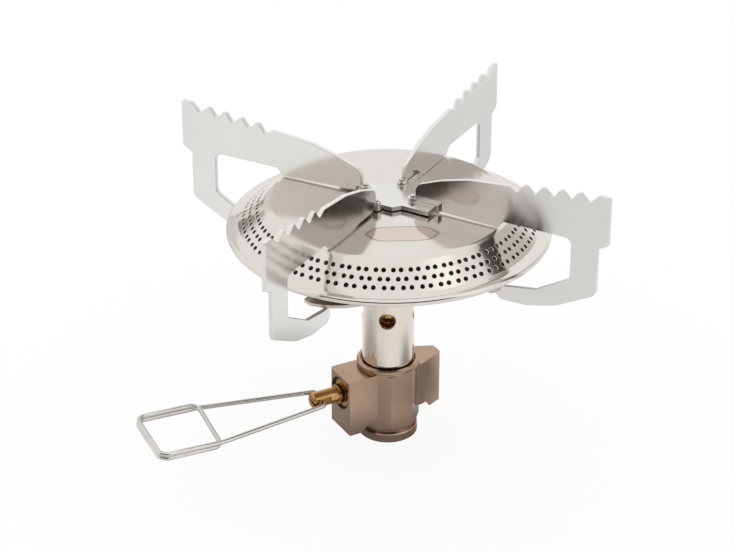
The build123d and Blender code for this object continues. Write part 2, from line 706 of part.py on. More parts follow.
# ================================================================ all nodes
def all_nodes():
    """Name and solid of every node."""
    nodes = {
        "valve_body": make_valve_body(),
        "cartridge_seal": make_cartridge_seal(),
        "depressor": make_depressor(),
        "inlet_filter": make_inlet_filter(),
        "gland_nut": make_gland_nut(),
        "spindle_oring": make_spindle_oring(),
        "dust_ring": make_dust_ring(),
        "spindle": make_spindle(),
        "wire_handle": make_wire_handle(),
        "burner_tube": make_burner_tube(),
        "gas_riser": make_gas_riser(),
        "jet": make_jet(),
        "burner_bowl": make_burner_bowl(),
        "burner_cap": make_burner_cap(),
        "tube_nut": make_tube_nut(),
        "baffle": make_baffle(),
        "head_rivet": make_head_rivet(),
        "lower_plate": make_lower_plate(),
        "pivot_plate": make_pivot_plate(),
    }
    support = make_pot_support()
    pins = around(make_hinge_pin(), support_count)
    for number, swing in enumerate(rest_swing):
        open_turn = Rot(0, 0, 360 * number / support_count)
        play = Pos(pivot_r, 0, 0) * Rot(0, 0, swing) * Pos(-pivot_r, 0, 0)
        nodes[f"pot_support_{number + 1}"] = open_turn * play * support
        nodes[f"hinge_pin_{number + 1}"] = pins[number]
    return nodes


os.makedirs("parts", exist_ok=True)
for name, shape in all_nodes().items():
    export_step(shape, f"parts/{name}.step")
    print(f"{name}: {shape.volume:.1f} mm3")
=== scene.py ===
# %% [markdown]
# # A folding camping stove that screws on a gas cartridge
#
# The stove is nearly all bare metal: a pressed burner head with rows of flame holes, four stamped
# supports that fold round pins, a nickel tube, a milled valve body with a satin bronze finish, and a
# folding wire handle on a brass spindle. The engineering model is loaded first and never changed.
# Each visible piece is then made again with finer edges, or keeps its shape and gets a finish.
# Everything is in metres in the model's own frame: the cartridge socket's mouth is at the origin,
# the burner's axis is Z, and the supports lie along +X, +Y, -X and -Y.

# %% Load the frame
import json
from math import cos, radians, sin

import bmesh
import bpy
import numpy as np
from mathutils import Matrix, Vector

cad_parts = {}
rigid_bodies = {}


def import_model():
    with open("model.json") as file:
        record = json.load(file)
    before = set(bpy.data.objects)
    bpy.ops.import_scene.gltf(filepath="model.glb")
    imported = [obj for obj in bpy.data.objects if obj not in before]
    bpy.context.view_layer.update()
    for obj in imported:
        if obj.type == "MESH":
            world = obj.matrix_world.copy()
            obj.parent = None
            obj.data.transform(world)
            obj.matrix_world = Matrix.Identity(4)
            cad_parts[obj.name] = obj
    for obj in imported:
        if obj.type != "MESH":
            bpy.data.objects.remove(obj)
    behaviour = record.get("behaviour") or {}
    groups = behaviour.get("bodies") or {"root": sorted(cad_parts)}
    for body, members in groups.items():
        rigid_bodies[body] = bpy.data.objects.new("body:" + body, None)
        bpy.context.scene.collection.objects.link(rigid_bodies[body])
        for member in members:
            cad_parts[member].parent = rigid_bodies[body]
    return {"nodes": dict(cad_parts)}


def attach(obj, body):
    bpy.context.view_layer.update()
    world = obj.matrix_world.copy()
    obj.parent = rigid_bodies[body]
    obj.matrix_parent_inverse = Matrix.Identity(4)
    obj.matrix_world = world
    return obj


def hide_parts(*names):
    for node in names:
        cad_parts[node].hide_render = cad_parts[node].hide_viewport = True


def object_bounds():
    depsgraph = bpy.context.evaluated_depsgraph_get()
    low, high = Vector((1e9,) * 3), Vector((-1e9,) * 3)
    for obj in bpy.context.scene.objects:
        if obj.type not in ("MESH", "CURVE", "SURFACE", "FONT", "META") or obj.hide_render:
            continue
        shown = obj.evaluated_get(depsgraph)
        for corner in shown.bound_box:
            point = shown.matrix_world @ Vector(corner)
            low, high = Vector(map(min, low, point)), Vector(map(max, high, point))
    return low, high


for leftover in list(bpy.data.objects):
    bpy.data.objects.remove(leftover)
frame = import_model()
model_box = [[float(v) for v in corner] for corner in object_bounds()]
nodes = frame["nodes"]
MM = 0.001


def add_object(name, data):
    """A new object in the scene."""
    thing = bpy.data.objects.new(name, data)
    bpy.context.scene.collection.objects.link(thing)
    return thing


print("model box", model_box, "and", len(nodes), "nodes")

# %% [markdown]
# ## The viewpoint
#
# A long lens, about 116 mm on a full frame, keeps the perspective gentle, as a catalogue picture of a
# small tool does. The camera could be aimed with a constraint, but a plain matrix from three angles is
# easier to read and leaves nothing live behind: swing round Z, tilt down, then a tiny roll.

# %% Camera
camera_data = bpy.data.cameras.new("portrait")
camera = add_object("portrait", camera_data)
camera_data.sensor_width = 36.0
camera_data.lens = 116.24
camera_data.clip_start, camera_data.clip_end = 0.05, 20.0
camera_place = (0.3412, -0.6274, 0.44387)
look_azimuth, look_dip, look_roll = 119.13, 28.191, 0.109
camera.matrix_world = (
    Matrix.Translation(camera_place)
    @ Matrix.Rotation(radians(look_azimuth - 90), 4, "Z")
    @ Matrix.Rotation(radians(90 - look_dip), 4, "X")
    @ Matrix.Rotation(radians(look_roll), 4, "Z")
)
bpy.context.scene.camera = camera
bpy.context.scene.view_settings.view_transform = "Standard"
print("camera", [round(v, 4) for v in camera.location], "lens", camera_data.lens)

# %% [markdown]
# ## A shorthand for shader nodes
#
# Every finish below is a small network. These helpers keep each one to a few lines: the first two add
# a node and give an input either a value or a link, and the others are the nodes used most. The
# alternative is to place every node by hand in the editor, which can't be read or repeated from a
# script.

# %% Node helpers
def put(tree, kind, inputs=(), **settings):
    """Adds a node, sets its properties, and fills its inputs from (name or index, value or socket)."""
    node = tree.nodes.new(kind)
    for name, value in settings.items():
        setattr(node, name, value)
    for name, value in inputs:
        feed(tree, node.inputs[name], value)
    return node


def feed(tree, socket, value):
    """Links a socket to an input, or sets the input's own value."""
    if isinstance(value, bpy.types.NodeSocket):
        tree.links.new(value, socket)
    else:
        socket.default_value = value


def maths(tree, operation, first, second=0.0):
    """One Math node, as its output socket."""
    return put(tree, "ShaderNodeMath", [(0, first), (1, second)], operation=operation).outputs[0]


def times(tree, first, second):
    """The product of two values, as a socket."""
    return maths(tree, "MULTIPLY", first, second)


def vectors(tree, operation, first, second=(0, 0, 0)):
    """One Vector Math node, as its vector, or as its number for a length or a distance."""
    node = put(tree, "ShaderNodeVectorMath", [(0, first), (1, second)], operation=operation)
    return node.outputs["Value" if operation in ("LENGTH", "DISTANCE") else "Vector"]


def ramp(tree, value, low, high, out_low=0.0, out_high=1.0):
    """A smooth step of a value from one range to another."""
    inputs = [("Value", value), ("From Min", low), ("From Max", high), ("To Min", out_low), ("To Max", out_high)]
    return put(tree, "ShaderNodeMapRange", inputs, interpolation_type="SMOOTHSTEP").outputs["Result"]


def noise(tree, vector, scale, detail, distortion=0.0):
    """One Noise Texture node, as its value."""
    inputs = [("Vector", vector), ("Scale", scale), ("Detail", detail), ("Distortion", distortion)]
    return put(tree, "ShaderNodeTexNoise", inputs).outputs[0]


def mix(tree, factor, first, second):
    """One Mix node for two colours, each (r, g, b) or a socket, as its output socket."""
    first, second = [(*colour, 1) if isinstance(colour, tuple) else colour for colour in (first, second)]
    return put(tree, "ShaderNodeMix", [("Factor", factor), (6, first), (7, second)], data_type="RGBA").outputs[2]


def new_material(name):
    """A material with an empty network, as (material, tree)."""
    material = bpy.data.materials.new(name)
    material.use_nodes = True
    material.node_tree.nodes.clear()
    return material, material.node_tree


def dress(tree, colour, dirt, rough, height, depth, more):
    """A Principled shader with its output. Its roughness runs over rough as dirt does, and height carves it."""
    gloss = put(tree, "ShaderNodeMapRange", [("Value", dirt), ("To Min", rough[0]), ("To Max", rough[1])])
    bump = put(tree, "ShaderNodeBump", [("Height", height), ("Distance", depth), ("Strength", 1.0)])
    shader = put(tree, "ShaderNodeBsdfPrincipled", [
        ("Base Color", colour), ("Roughness", gloss.outputs[0]), ("Normal", bump.outputs[0]), more])
    put(tree, "ShaderNodeOutputMaterial", [("Surface", shader.outputs[0])])
    return shader


print("helpers ready")

# %% [markdown]
# ## The studio
#
# Polished steel has hardly any colour of its own: it shows the room. The room here is a white sweep
# behind and below, a broad overhead light, and an unlit side behind the camera, which is what draws
# the brown shadows on the supports near the hub. It could be built from cards and lamps. A world that
# depends only on the ray's direction is quieter and the same in every view. Diffuse light is a plain
# level all round, so that a colour comes out about as it is written. The floor is white to the camera,
# and only reflections see darker spots on it: a painted shadow of the stove and painted shade round it.

# %% World
world = bpy.data.worlds.new("studio")
bpy.context.scene.world = world
world.use_nodes = True
room = world.node_tree
room.nodes.clear()
direction = put(room, "ShaderNodeTexCoord").outputs["Generated"]
east, north, height = put(room, "ShaderNodeSeparateXYZ", [(0, direction)]).outputs
squares = [times(room, part, part) for part in (east, north)]
level_length = maths(room, "MAXIMUM", maths(room, "SQRT", maths(room, "ADD", *squares)), 0.001)
dark_azimuth = 299.0


def patch(azimuth, wide, narrow, low, high):
    """A soft-edged patch of the room: 1 where a ray's azimuth and the sine of its height lie inside.

    wide and narrow are the cosines of its half width at the edge and inside it, and low and high each
    hold the sines of height between which its lower and its upper edge fade.
    """
    turn = radians(azimuth)
    facing = maths(room, "ADD", times(room, east, cos(turn)), times(room, north, sin(turn)))
    facing = maths(room, "DIVIDE", facing, level_length)
    tall = times(room, ramp(room, height, *low), ramp(room, height, *high))
    return times(room, ramp(room, facing, wide, narrow), tall)


seen = (1.0, 1.0, 0.995)
for shape, colour in (
        ((58.0, 0.90, 0.985, (0.08, 0.26), (0.82, 0.70)), (0.62, 0.60, 0.58)),
        ((dark_azimuth, 0.60, 0.78, (-0.05, 0.12), (0.82, 0.66)), (0.055, 0.042, 0.038)),
        ((243.8, 0.9982, 0.99988, (0.30, 0.38), (0.62, 0.54)), (0.7, 0.644, 0.616)),
        ((156.0, 0.93, 0.985, (-0.05, 0.0), (0.28, 0.14)), (0.3, 0.276, 0.264))):
    seen = mix(room, patch(*shape), seen, colour)
rays = put(room, "ShaderNodeLightPath").outputs
not_camera = maths(room, "SUBTRACT", 1.0, rays["Is Camera Ray"])
mirror = maths(room, "MAXIMUM", rays["Is Glossy Ray"], rays["Is Transmission Ray"])
white = put(room, "ShaderNodeBackground", [("Color", (1, 1, 1, 1)), ("Strength", 1.0)])
softbox = ramp(room, patch(352.0, 0.84, 0.95, (0.36, 0.5), (0.95, 0.86)), 0.0, 1.0, 1.0, 1.3)
pattern = put(room, "ShaderNodeBackground", [("Color", seen), ("Strength", softbox)])
fill = put(room, "ShaderNodeBackground", [("Color", (1.0, 0.99, 0.975, 1)), ("Strength", 0.8)])
bounced = put(room, "ShaderNodeMixShader", [("Fac", mirror), (1, fill.outputs[0]), (2, pattern.outputs[0])])
whole = put(room, "ShaderNodeMixShader", [("Fac", not_camera), (1, white.outputs[0]), (2, bounced.outputs[0])])
put(room, "ShaderNodeOutputWorld", [("Surface", whole.outputs[0])])
print("world: white sweep, dark side at", dark_azimuth, "degrees")

# %% Floor and lamp
reach, floor_gap = 2.5, 0.0004
floor_z = model_box[0][2] - floor_gap
floor_mesh = bpy.data.meshes.new("floor")
floor_mesh.from_pydata([(reach * x, reach * y, floor_z) for x, y in ((-1, -1), (1, -1), (1, 1), (-1, 1))], [],
                       [(0, 1, 2, 3)])
floor = add_object("floor", floor_mesh)
paper, tree = new_material("pale_floor")
where = put(tree, "ShaderNodeTexCoord").outputs["Object"]
from_foot = vectors(tree, "DISTANCE", where, (0.0, 0.0, floor_z))
# What reflections see of the floor: white, dimmed near the foot and round the listed spots, a painted shadow of the
# stove and painted shade round it.
painted_floor_shadow = ramp(tree, from_foot, 0.015, 0.034, 0.3, 1.0)
for x, y, near, far, low, high in (
        (-0.045, -0.032, 0.020, 0.064, 0.44, 0.93), (0.048, 0.016, 0.012, 0.042, 0.36, 1.0),
        (0.002, -0.042, 0.008, 0.034, 0.68, 1.0), (-0.010, -0.165, 0.05, 0.11, 0.86, 1.0),
        (0.090, 0.220, 0.06, 0.12, 0.86, 1.0)):
    away = vectors(tree, "DISTANCE", where, (x, y, floor_z))
    painted_floor_shadow = times(tree, painted_floor_shadow, ramp(tree, away, near, far, low, high))
rays = put(tree, "ShaderNodeLightPath").outputs
matt = put(tree, "ShaderNodeBsdfDiffuse", [("Color", (0.95, 0.95, 0.95, 1))])
brightness = maths(tree, "MAXIMUM", rays["Is Camera Ray"], painted_floor_shadow)
glow = put(tree, "ShaderNodeEmission", [("Color", (1, 1, 1, 1)), ("Strength", brightness)])
share = times(tree, rays["Is Camera Ray"], ramp(tree, from_foot, 0.08, 0.2, 0.91, 1.0))
share = maths(tree, "MAXIMUM", share, rays["Is Glossy Ray"])
both = put(tree, "ShaderNodeMixShader", [("Fac", share), (1, matt.outputs[0]), (2, glow.outputs[0])])
put(tree, "ShaderNodeOutputMaterial", [("Surface", both.outputs[0])])
floor_mesh.materials.append(paper)

lamp_data = bpy.data.lights.new("overhead", "AREA")
lamp_data.shape, lamp_data.size, lamp_data.energy = "SQUARE", 0.9, 2.9
lamp = add_object("overhead", lamp_data)
lamp_place, lamp_tilts = (-0.25, 0.2, 1.15), ((-14, "Y"), (-10, "X"))
lamp.matrix_world = Matrix.Translation(lamp_place)
for tilt, axis in lamp_tilts:
    lamp.matrix_world = lamp.matrix_world @ Matrix.Rotation(radians(tilt), 4, axis)
lamp.visible_camera = lamp.visible_glossy = False
print("floor at", round(floor_z, 5), "and one soft lamp of", lamp_data.energy, "W")

# %% [markdown]
# ## Shared effects
#
# Machined and pressed metal repeats a few effects: rings left by turning or spinning, fine lines left
# by drawing or brushing, small pits from blasting or plating, and the cloudy film that hands and heat
# leave. Each is one node group with its own inputs, placed in many finishes with different values.
# The groups put out only masks and heights, and the shader itself stays in each material.

# %% Group: rings of a turned or spun surface
def new_group(name, numbers, outputs):
    """An empty shader group with a vector and some numbers going in, as (tree, sockets in, sockets out)."""
    group = bpy.data.node_groups.new(name, "ShaderNodeTree")
    group.interface.new_socket("Vector", in_out="INPUT", socket_type="NodeSocketVector")
    for title, value in numbers.items():
        group.interface.new_socket(title, in_out="INPUT", socket_type="NodeSocketFloat").default_value = value
    for title in outputs:
        group.interface.new_socket(title, in_out="OUTPUT", socket_type="NodeSocketFloat")
    return group, group.nodes.new("NodeGroupInput").outputs, group.nodes.new("NodeGroupOutput").inputs


def show(group):
    """Prints a group's name and sockets."""
    print(group.name + ":", [s.name for s in group.interface.items_tree])


turned, given, result = new_group("turned_rings", {"Density": 1500.0}, ["Height", "Band"])
x, y, z = put(turned, "ShaderNodeSeparateXYZ", [(0, given["Vector"])]).outputs
flat = put(turned, "ShaderNodeCombineXYZ", [(0, x), (1, y)]).outputs[0]
way_x = put(turned, "ShaderNodeSeparateXYZ", [(0, vectors(turned, "NORMALIZE", flat))]).outputs[0]
ring = put(turned, "ShaderNodeCombineXYZ", [
    (0, times(turned, vectors(turned, "LENGTH", flat), given["Density"])),
    (1, times(turned, z, given["Density"])),
    (2, times(turned, way_x, 1.2))]).outputs[0]
feed(turned, result["Height"], noise(turned, ring, 1.0, 3.0))
feed(turned, result["Band"], noise(turned, vectors(turned, "MULTIPLY", ring, (0.12, 0.12, 1.0)), 1.0, 1.0))
show(turned)

# %% Group: lines of a drawn or brushed surface
drawn, given, result = new_group("drawn_lines", {"Along": 60.0, "Across": 2500.0}, ["Height", "Streak"])
spread = put(drawn, "ShaderNodeCombineXYZ", [(0, given["Along"]), (1, given["Across"]), (2, given["Across"])])
lines = vectors(drawn, "MULTIPLY", given["Vector"], spread.outputs[0])
feed(drawn, result["Height"], noise(drawn, lines, 1.0, 3.0))
feed(drawn, result["Streak"], noise(drawn, vectors(drawn, "MULTIPLY", lines, (0.5, 0.14, 0.14)), 1.0, 1.0))
show(drawn)

# %% Group: pits of a blasted, plated or sintered surface
pitted, given, result = new_group("fine_pits", {"Scale": 1500.0}, ["Height", "Speck"])
cells = put(pitted, "ShaderNodeTexVoronoi", [("Vector", given["Vector"]), ("Scale", given["Scale"])], feature="F1")
grit = noise(pitted, given["Vector"], given["Scale"], 4.0)
halves = [times(pitted, part, 0.5) for part in (cells.outputs["Distance"], grit)]
feed(pitted, result["Height"], maths(pitted, "ADD", *halves))
feed(pitted, result["Speck"], ramp(pitted, grit, 0.42, 0.62))
show(pitted)

# %% Group: film left by hands and heat
film, given, result = new_group("handling_film", {"Scale": 60.0}, ["Smudge", "Cloud"])
cloud = noise(film, given["Vector"], given["Scale"], 2.0)
smear = noise(film, given["Vector"], times(film, given["Scale"], 2.6), 4.0, 1.2)
feed(film, result["Smudge"], ramp(film, smear, 0.35, 0.72))
feed(film, result["Cloud"], ramp(film, cloud, 0.3, 0.7))
show(film)

# %% [markdown]
# ## The finishes
#
# All the metals share one recipe: two close shades mixed by a cloud, a roughness that smudges raise,
# and a bump from the marks of the way each piece was made. What differs is the shade, the gloss and
# the kind of marks: rings on turned and spun pieces, lines on drawn ones, pits on blasted ones. A
# separate hand-made network for each finish would give the same look with ten times the nodes.

# %% One recipe for metal
def lookup(tree, source, turn=(0, 0, 0), centre=(0, 0, 0)):
    """Where a pattern is read: Object coordinates or UV, moved and turned by a Mapping node."""
    base = put(tree, "ShaderNodeTexCoord").outputs[source]
    if turn == (0, 0, 0) and centre == (0, 0, 0):
        return base
    return put(tree, "ShaderNodeMapping", [("Vector", base), ("Location", centre), ("Rotation", turn)],
               vector_type="TEXTURE").outputs[0]


def place(tree, group, vector, **values):
    """A group's node that reads its pattern at vector. Each value goes to the input of its name, if there."""
    node = put(tree, "ShaderNodeGroup", [("Vector", vector)], node_tree=group)
    for title, value in values.items():
        if title in node.inputs:
            node.inputs[title].default_value = value
    return node


def metal(name, dark, light, rough, marks, density, depth, source="Object", turn=(0, 0, 0), centre=(0, 0, 0),
          film_scale=55.0, band=0.25, along=50.0):
    """A bare or plated metal. dark and light are the two shades, rough the low and high roughness,
    marks the group that carves it, density the marks per metre and depth their height in metres."""
    finish, tree = new_material(name)
    where = lookup(tree, source, turn, centre)
    carve = place(tree, marks, where, Density=density, Across=density, Scale=density, Along=along)
    hands = place(tree, film, lookup(tree, "Object"), Scale=film_scale)
    blend = maths(tree, "ADD", times(tree, hands.outputs["Cloud"], 1 - band),
                  times(tree, carve.outputs[1], band))
    shader = dress(tree, mix(tree, blend, dark, light), hands.outputs["Smudge"], rough, carve.outputs[0], depth,
                   ("Metallic", 1.0))
    shader.name = "metal"
    return finish


valve_azimuth, spindle_z = 238.0, 19.8
along_valve = (0.0, radians(90), radians(valve_azimuth))
on_spindle = (0.0, 0.0, spindle_z * MM)

finishes = {
    "bronze": metal("satin_bronze", (0.44, 0.30, 0.212), (0.52, 0.36, 0.262), (0.22, 0.30), pitted, 2600.0, 3e-6,
                    film_scale=45.0, band=0.2),
    # Lighter bronze for the broken edges: partly wear, partly a painted highlight.
    "bronze_edge_wear_and_highlight": metal("satin_bronze_edge_wear_and_painted_highlight", (0.60, 0.48, 0.385), (0.68, 0.56, 0.46), (0.22, 0.34), pitted,
                         2600.0, 2e-6),
    "bronze_turned": metal("satin_bronze_turned", (0.40, 0.275, 0.195), (0.52, 0.365, 0.268), (0.22, 0.32), turned,
                           2400.0, 8e-6, film_scale=45.0, band=0.6),
    "nickel": metal("bright_nickel_tube", (0.74, 0.665, 0.595), (0.82, 0.75, 0.68), (0.12, 0.2), turned, 1700.0,
                    1.5e-6, band=0.5),
    "spun_steel": metal("spun_steel_inside", (0.56, 0.50, 0.46), (0.66, 0.60, 0.56), (0.26, 0.38), turned, 1400.0,
                        6e-6, band=0.5),
    "warm_sheet": metal("pressed_sheet_warm", (0.54, 0.475, 0.41), (0.64, 0.575, 0.51), (0.26, 0.4), drawn, 1600.0,
                        6e-6, turn=(0, 0, radians(30)), band=0.5),
    "bright_plate": metal("polished_plate", (0.74, 0.73, 0.70), (0.79, 0.78, 0.75), (0.16, 0.24), drawn, 2200.0, 9e-7,
                          turn=(0, 0, radians(-25)), band=0.3),
    "pin_steel": metal("pin_steel", (0.60, 0.58, 0.55), (0.72, 0.70, 0.67), (0.18, 0.3), turned, 4000.0, 3e-6,
                       band=0.4),
    "brass": metal("turned_brass", (0.47, 0.265, 0.095), (0.60, 0.345, 0.13), (0.18, 0.30), turned, 3800.0, 3e-6,
                   turn=along_valve, centre=on_spindle, film_scale=160.0, band=0.55),
    "brass_upright": metal("turned_brass_upright", (0.56, 0.30, 0.09), (0.70, 0.39, 0.125), (0.2, 0.34), turned,
                           3800.0, 7e-6, film_scale=140.0, band=0.55),
    "bore": metal("bare_brass_bore", (0.84, 0.61, 0.30), (0.92, 0.70, 0.36), (0.55, 0.65), turned, 1700.0, 4e-6,
                  band=0.5),
    "cut_edge": metal("sheared_plate_edge", (0.68, 0.66, 0.63), (0.75, 0.73, 0.70), (0.3, 0.36), drawn, 2600.0, 3e-6,
                      band=0.4),
    "sintered": metal("sintered_bronze_grains", (0.36, 0.22, 0.12), (0.58, 0.40, 0.24), (0.5, 0.7), pitted, 5200.0,
                      1e-4, band=0.7),
    "wire": metal("drawn_steel_wire", (0.62, 0.595, 0.565), (0.74, 0.715, 0.685), (0.16, 0.26), drawn, 9.0, 1.2e-6,
                  source="UV", along=900.0, film_scale=120.0, band=0.4),
}
print(len(finishes), "metals")

# %% [markdown]
# ## Rubber, the cap's etched patch, and the cut edges of sheet metal
#
# Three finishes need more than the recipe. Rubber isn't a metal, and dust makes it paler. The cap has
# a lightly etched, empty patch near the hub, which is a mask worked out from two coordinates, so
# nothing is raised or painted. The supports are stamped, so their cut edges are rougher than their
# faces, and an attribute on the mesh tells the shader where the edge is.

# %% Rubber
rubber, tree = new_material("black_seal_rubber")
where = lookup(tree, "Object")
skin = place(tree, pitted, where, Scale=3000.0)
hands = place(tree, film, where, Scale=300.0)
shade = mix(tree, hands.outputs["Smudge"], (0.012, 0.010, 0.008), (0.034, 0.029, 0.023))
dress(tree, shade, skin.outputs["Speck"], (0.45, 0.75), skin.outputs["Height"], 1.5e-5, ("Specular IOR Level", 0.2))
finishes["rubber"] = rubber
print("rubber added")

# %% Cap with its etched patch
patch_centre, patch_turn, patch_half = (15.7, -19.6), 32.7, (12.1, 4.9)
corner_slant, corner_power = 0.26, 6.0
etched_colour, outline_colour, etched_rough = (0.68, 0.58, 0.515), (0.40, 0.345, 0.32), 0.05


def fed_by(shader, name):
    """The socket that feeds one of a shader's inputs."""
    return shader.inputs[name].links[0].from_socket


def tint(tree, shader, mask, strength, colour):
    """Lays a colour over a shader's own, where mask is 1, as strongly as strength says."""
    under = fed_by(shader, "Base Color")
    feed(tree, shader.inputs["Base Color"], mix(tree, times(tree, mask, strength), under, colour))


cap_finish = metal("polished_cap", (0.715, 0.68, 0.645), (0.76, 0.73, 0.695), (0.11, 0.15), turned, 900.0, 7e-7,
                   band=0.45, film_scale=32.0)
tree = cap_finish.node_tree
on_patch = lookup(tree, "Object", (0, 0, radians(patch_turn)), (patch_centre[0] * MM, patch_centre[1] * MM, 0))
spot = put(tree, "ShaderNodeSeparateXYZ", [(0, on_patch)])
sides = [maths(tree, "ABSOLUTE", maths(tree, "DIVIDE", spot.outputs[axis], half * MM))
         for axis, half in enumerate(patch_half)]
slanted = maths(tree, "ADD", sides[0], times(tree, sides[1], corner_slant))
away = maths(tree, "ADD", *[maths(tree, "POWER", side, corner_power) for side in (slanted, sides[1])])
inside = ramp(tree, away, 1.1, 0.8)
outline = times(tree, ramp(tree, away, 0.5, 0.8), ramp(tree, away, 1.5, 1.15))
shader = tree.nodes["metal"]
tint(tree, shader, inside, 0.85, etched_colour)
tint(tree, shader, outline, 0.8, outline_colour)
glossy = put(tree, "ShaderNodeMix", [("Factor", inside), ("A", fed_by(shader, "Roughness")), ("B", etched_rough)])
feed(tree, shader.inputs["Roughness"], glossy.outputs[0])
finishes["cap"] = cap_finish
print("patch of", [2 * half for half in patch_half], "mm at", patch_centre)

# %% Support sheet with cut edges
sheet_finish = metal("brushed_support_sheet", (0.785, 0.77, 0.745), (0.82, 0.81, 0.785), (0.15, 0.19), drawn, 2600.0,
                     6e-7, source="UV", along=40.0, film_scale=30.0, band=0.35)
tree = sheet_finish.node_tree
shader = tree.nodes["metal"]
edge = put(tree, "ShaderNodeAttribute", attribute_name="cut_edge").outputs["Fac"]
tint(tree, shader, edge, 0.8, (0.86, 0.845, 0.82))
rougher = maths(tree, "ADD", fed_by(shader, "Roughness"), times(tree, edge, 0.28))
feed(tree, shader.inputs["Roughness"], rougher)
finishes["sheet"] = sheet_finish
print(len(finishes), "finishes in all")

# %% [markdown]
# ## Surfaces from numbers
#
# A new piece is a grid of points: one parameter runs along a profile and the other round an axis or
# along a path. numpy works out all the points at once. The same few functions make the cap, the
# bowl, the tube, the supports and the wire, so they come first: an outline with rounded corners, the
# four-sided faces of a grid, and a function that turns points and faces into an object.

# %% Surface helpers
def unit(vectors):
    """Vectors divided by their lengths."""
    return vectors / np.maximum(np.linalg.norm(vectors, axis=-1, keepdims=True), 1e-12)


def rounded_path(points, bends, arc_steps=6, along=(), closed=False):
    """Points and directions along a line whose corners are arcs.

    An arc of radius R starts R tan(turn / 2) before its corner. At an angle f into the turn it has gone
    R (way sin f + side (1 - cos f)), where way is the direction before the corner and side is the part
    of the direction after it that is square to way. along holds fractions at which straights get points.
    """
    corner = np.asarray(points, float)
    if closed:
        corner = np.vstack([corner[-1:], corner, corner[:1]])
    way = unit(np.diff(corner, axis=0))
    before, after = way[:-1], way[1:]
    radius = np.broadcast_to(np.asarray(bends, float), len(before))[:, None]
    turn = np.arccos(np.clip((before * after).sum(1), -1, 1))[:, None]
    side = unit(after - (before * after).sum(1, keepdims=True) * before)
    start = corner[1:-1] - before * radius * np.tan(turn / 2)
    angle = turn[:, :, None] * np.linspace(0, 1, arc_steps + 1)[None, :, None]
    arc = start[:, None] + radius[:, :, None] * (before[:, None] * np.sin(angle) + side[:, None] * (1 - np.cos(angle)))
    arc_way = before[:, None] * np.cos(angle) + side[:, None] * np.sin(angle)
    share = np.asarray(along, float)[None, :, None]
    froms = np.vstack([corner[:1], arc[:, -1]])
    tos = np.vstack([arc[:, 0], corner[-1:]])
    straight = froms[:, None] + share * (tos - froms)[:, None]
    straight_way = np.broadcast_to(way[:, None], straight.shape)
    wide = corner.shape[1]
    path = np.concatenate([straight[:-1], arc], 1).reshape(-1, wide)
    ways = np.concatenate([straight_way[:-1], arc_way], 1).reshape(-1, wide)
    if not closed:
        path = np.vstack([corner[:1], path, straight[-1], corner[-1:]])
        ways = np.vstack([way[:1], ways, straight_way[-1], way[-1:]])
    fresh = np.linalg.norm(path - np.roll(path, 1, axis=0), axis=1) > 1e-5
    return path[fresh], ways[fresh]


def grid_faces(rows, cols, wrap_rows=False, wrap_cols=False, first=0):
    """Four-sided faces between neighbours of a rows x cols grid, wrapping round where asked."""
    row = np.arange(rows if wrap_rows else rows - 1)[:, None]
    col = np.arange(cols if wrap_cols else cols - 1)[None, :]
    row_next, col_next = (row + 1) % rows, (col + 1) % cols
    quads = np.stack([row * cols + col, row * cols + col_next, row_next * cols + col_next, row_next * cols + col], -1)
    return quads.reshape(-1, 4) + first


def polar(r, angle, z):
    """Points (r cos a, r sin a, z), with a in radians."""
    return np.stack([r * np.cos(angle), r * np.sin(angle), z + 0 * angle], -1)


def spin(profile, azimuths):
    """Points (r cos a, r sin a, z) of a profile of (r, z) at each azimuth a, in degrees."""
    angle = np.radians(np.asarray(azimuths, float))[None, :]
    return polar(profile[:, :1], angle, profile[:, 1:])


def turned_about(points, axis, angle, centre=(0, 0, 0)):
    """Points turned about an axis through a centre, in degrees."""
    turn = np.array(Matrix.Rotation(radians(angle), 3, axis))
    return (np.asarray(points) - centre) @ turn.T + centre


def read(items, name, width=3, kind=float):
    """One property of every item, as rows of an array."""
    values = np.zeros(len(items) * width, kind)
    items.foreach_get(name, values)
    return values.reshape(-1, width)


def settle(piece, body, node):
    """Lets a piece ride on a body and stand for a CAD node, if it has one."""
    if node:
        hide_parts(node)
    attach(piece, body)
    return piece


def make_piece(name, points, faces, body, node, finish, ngons=(), weld=True):
    """A mesh object from points in millimetres and faces, which stands for a CAD node and rides on a body."""
    mesh = bpy.data.meshes.new(name)
    spots = (np.asarray(points).reshape(-1, 3) * MM).tolist()
    mesh.from_pydata(spots, [], np.asarray(faces).tolist() + [list(corners) for corners in ngons])
    work = bmesh.new()
    work.from_mesh(mesh)
    if weld:
        bmesh.ops.remove_doubles(work, verts=work.verts, dist=1e-6)
    bmesh.ops.recalc_face_normals(work, faces=work.faces)
    work.to_mesh(mesh)
    work.free()
    mesh.polygons.foreach_set("use_smooth", np.array([len(p.vertices) < 5 for p in mesh.polygons]))
    mesh.materials.append(finish)
    return settle(add_object(name, mesh), body, node)


def report(piece):
    """Prints a piece's size in millimetres and its number of faces."""
    spot = read(piece.data.vertices, "co") / MM
    print(piece.name, "mm", (spot.max(0) - spot.min(0)).round(2).tolist(), "faces", len(piece.data.polygons))


print("surface helpers ready")

# %% [markdown]
# ## The burner cap
#
# The cap is one thin pressing: a nearly flat crown, a slope with three rows of paired flame holes, and
# a rim rolled over the bowl's flange. The holes could be cut with a Boolean modifier, which leaves
# long thin faces that spoil a mirror finish. Here the slope is a lattice of small cells instead. Each
# cell is a square-edged patch with a round hole in it, so every face is small and neat, and the same
# lattice of azimuths runs on through the crown and the rim.

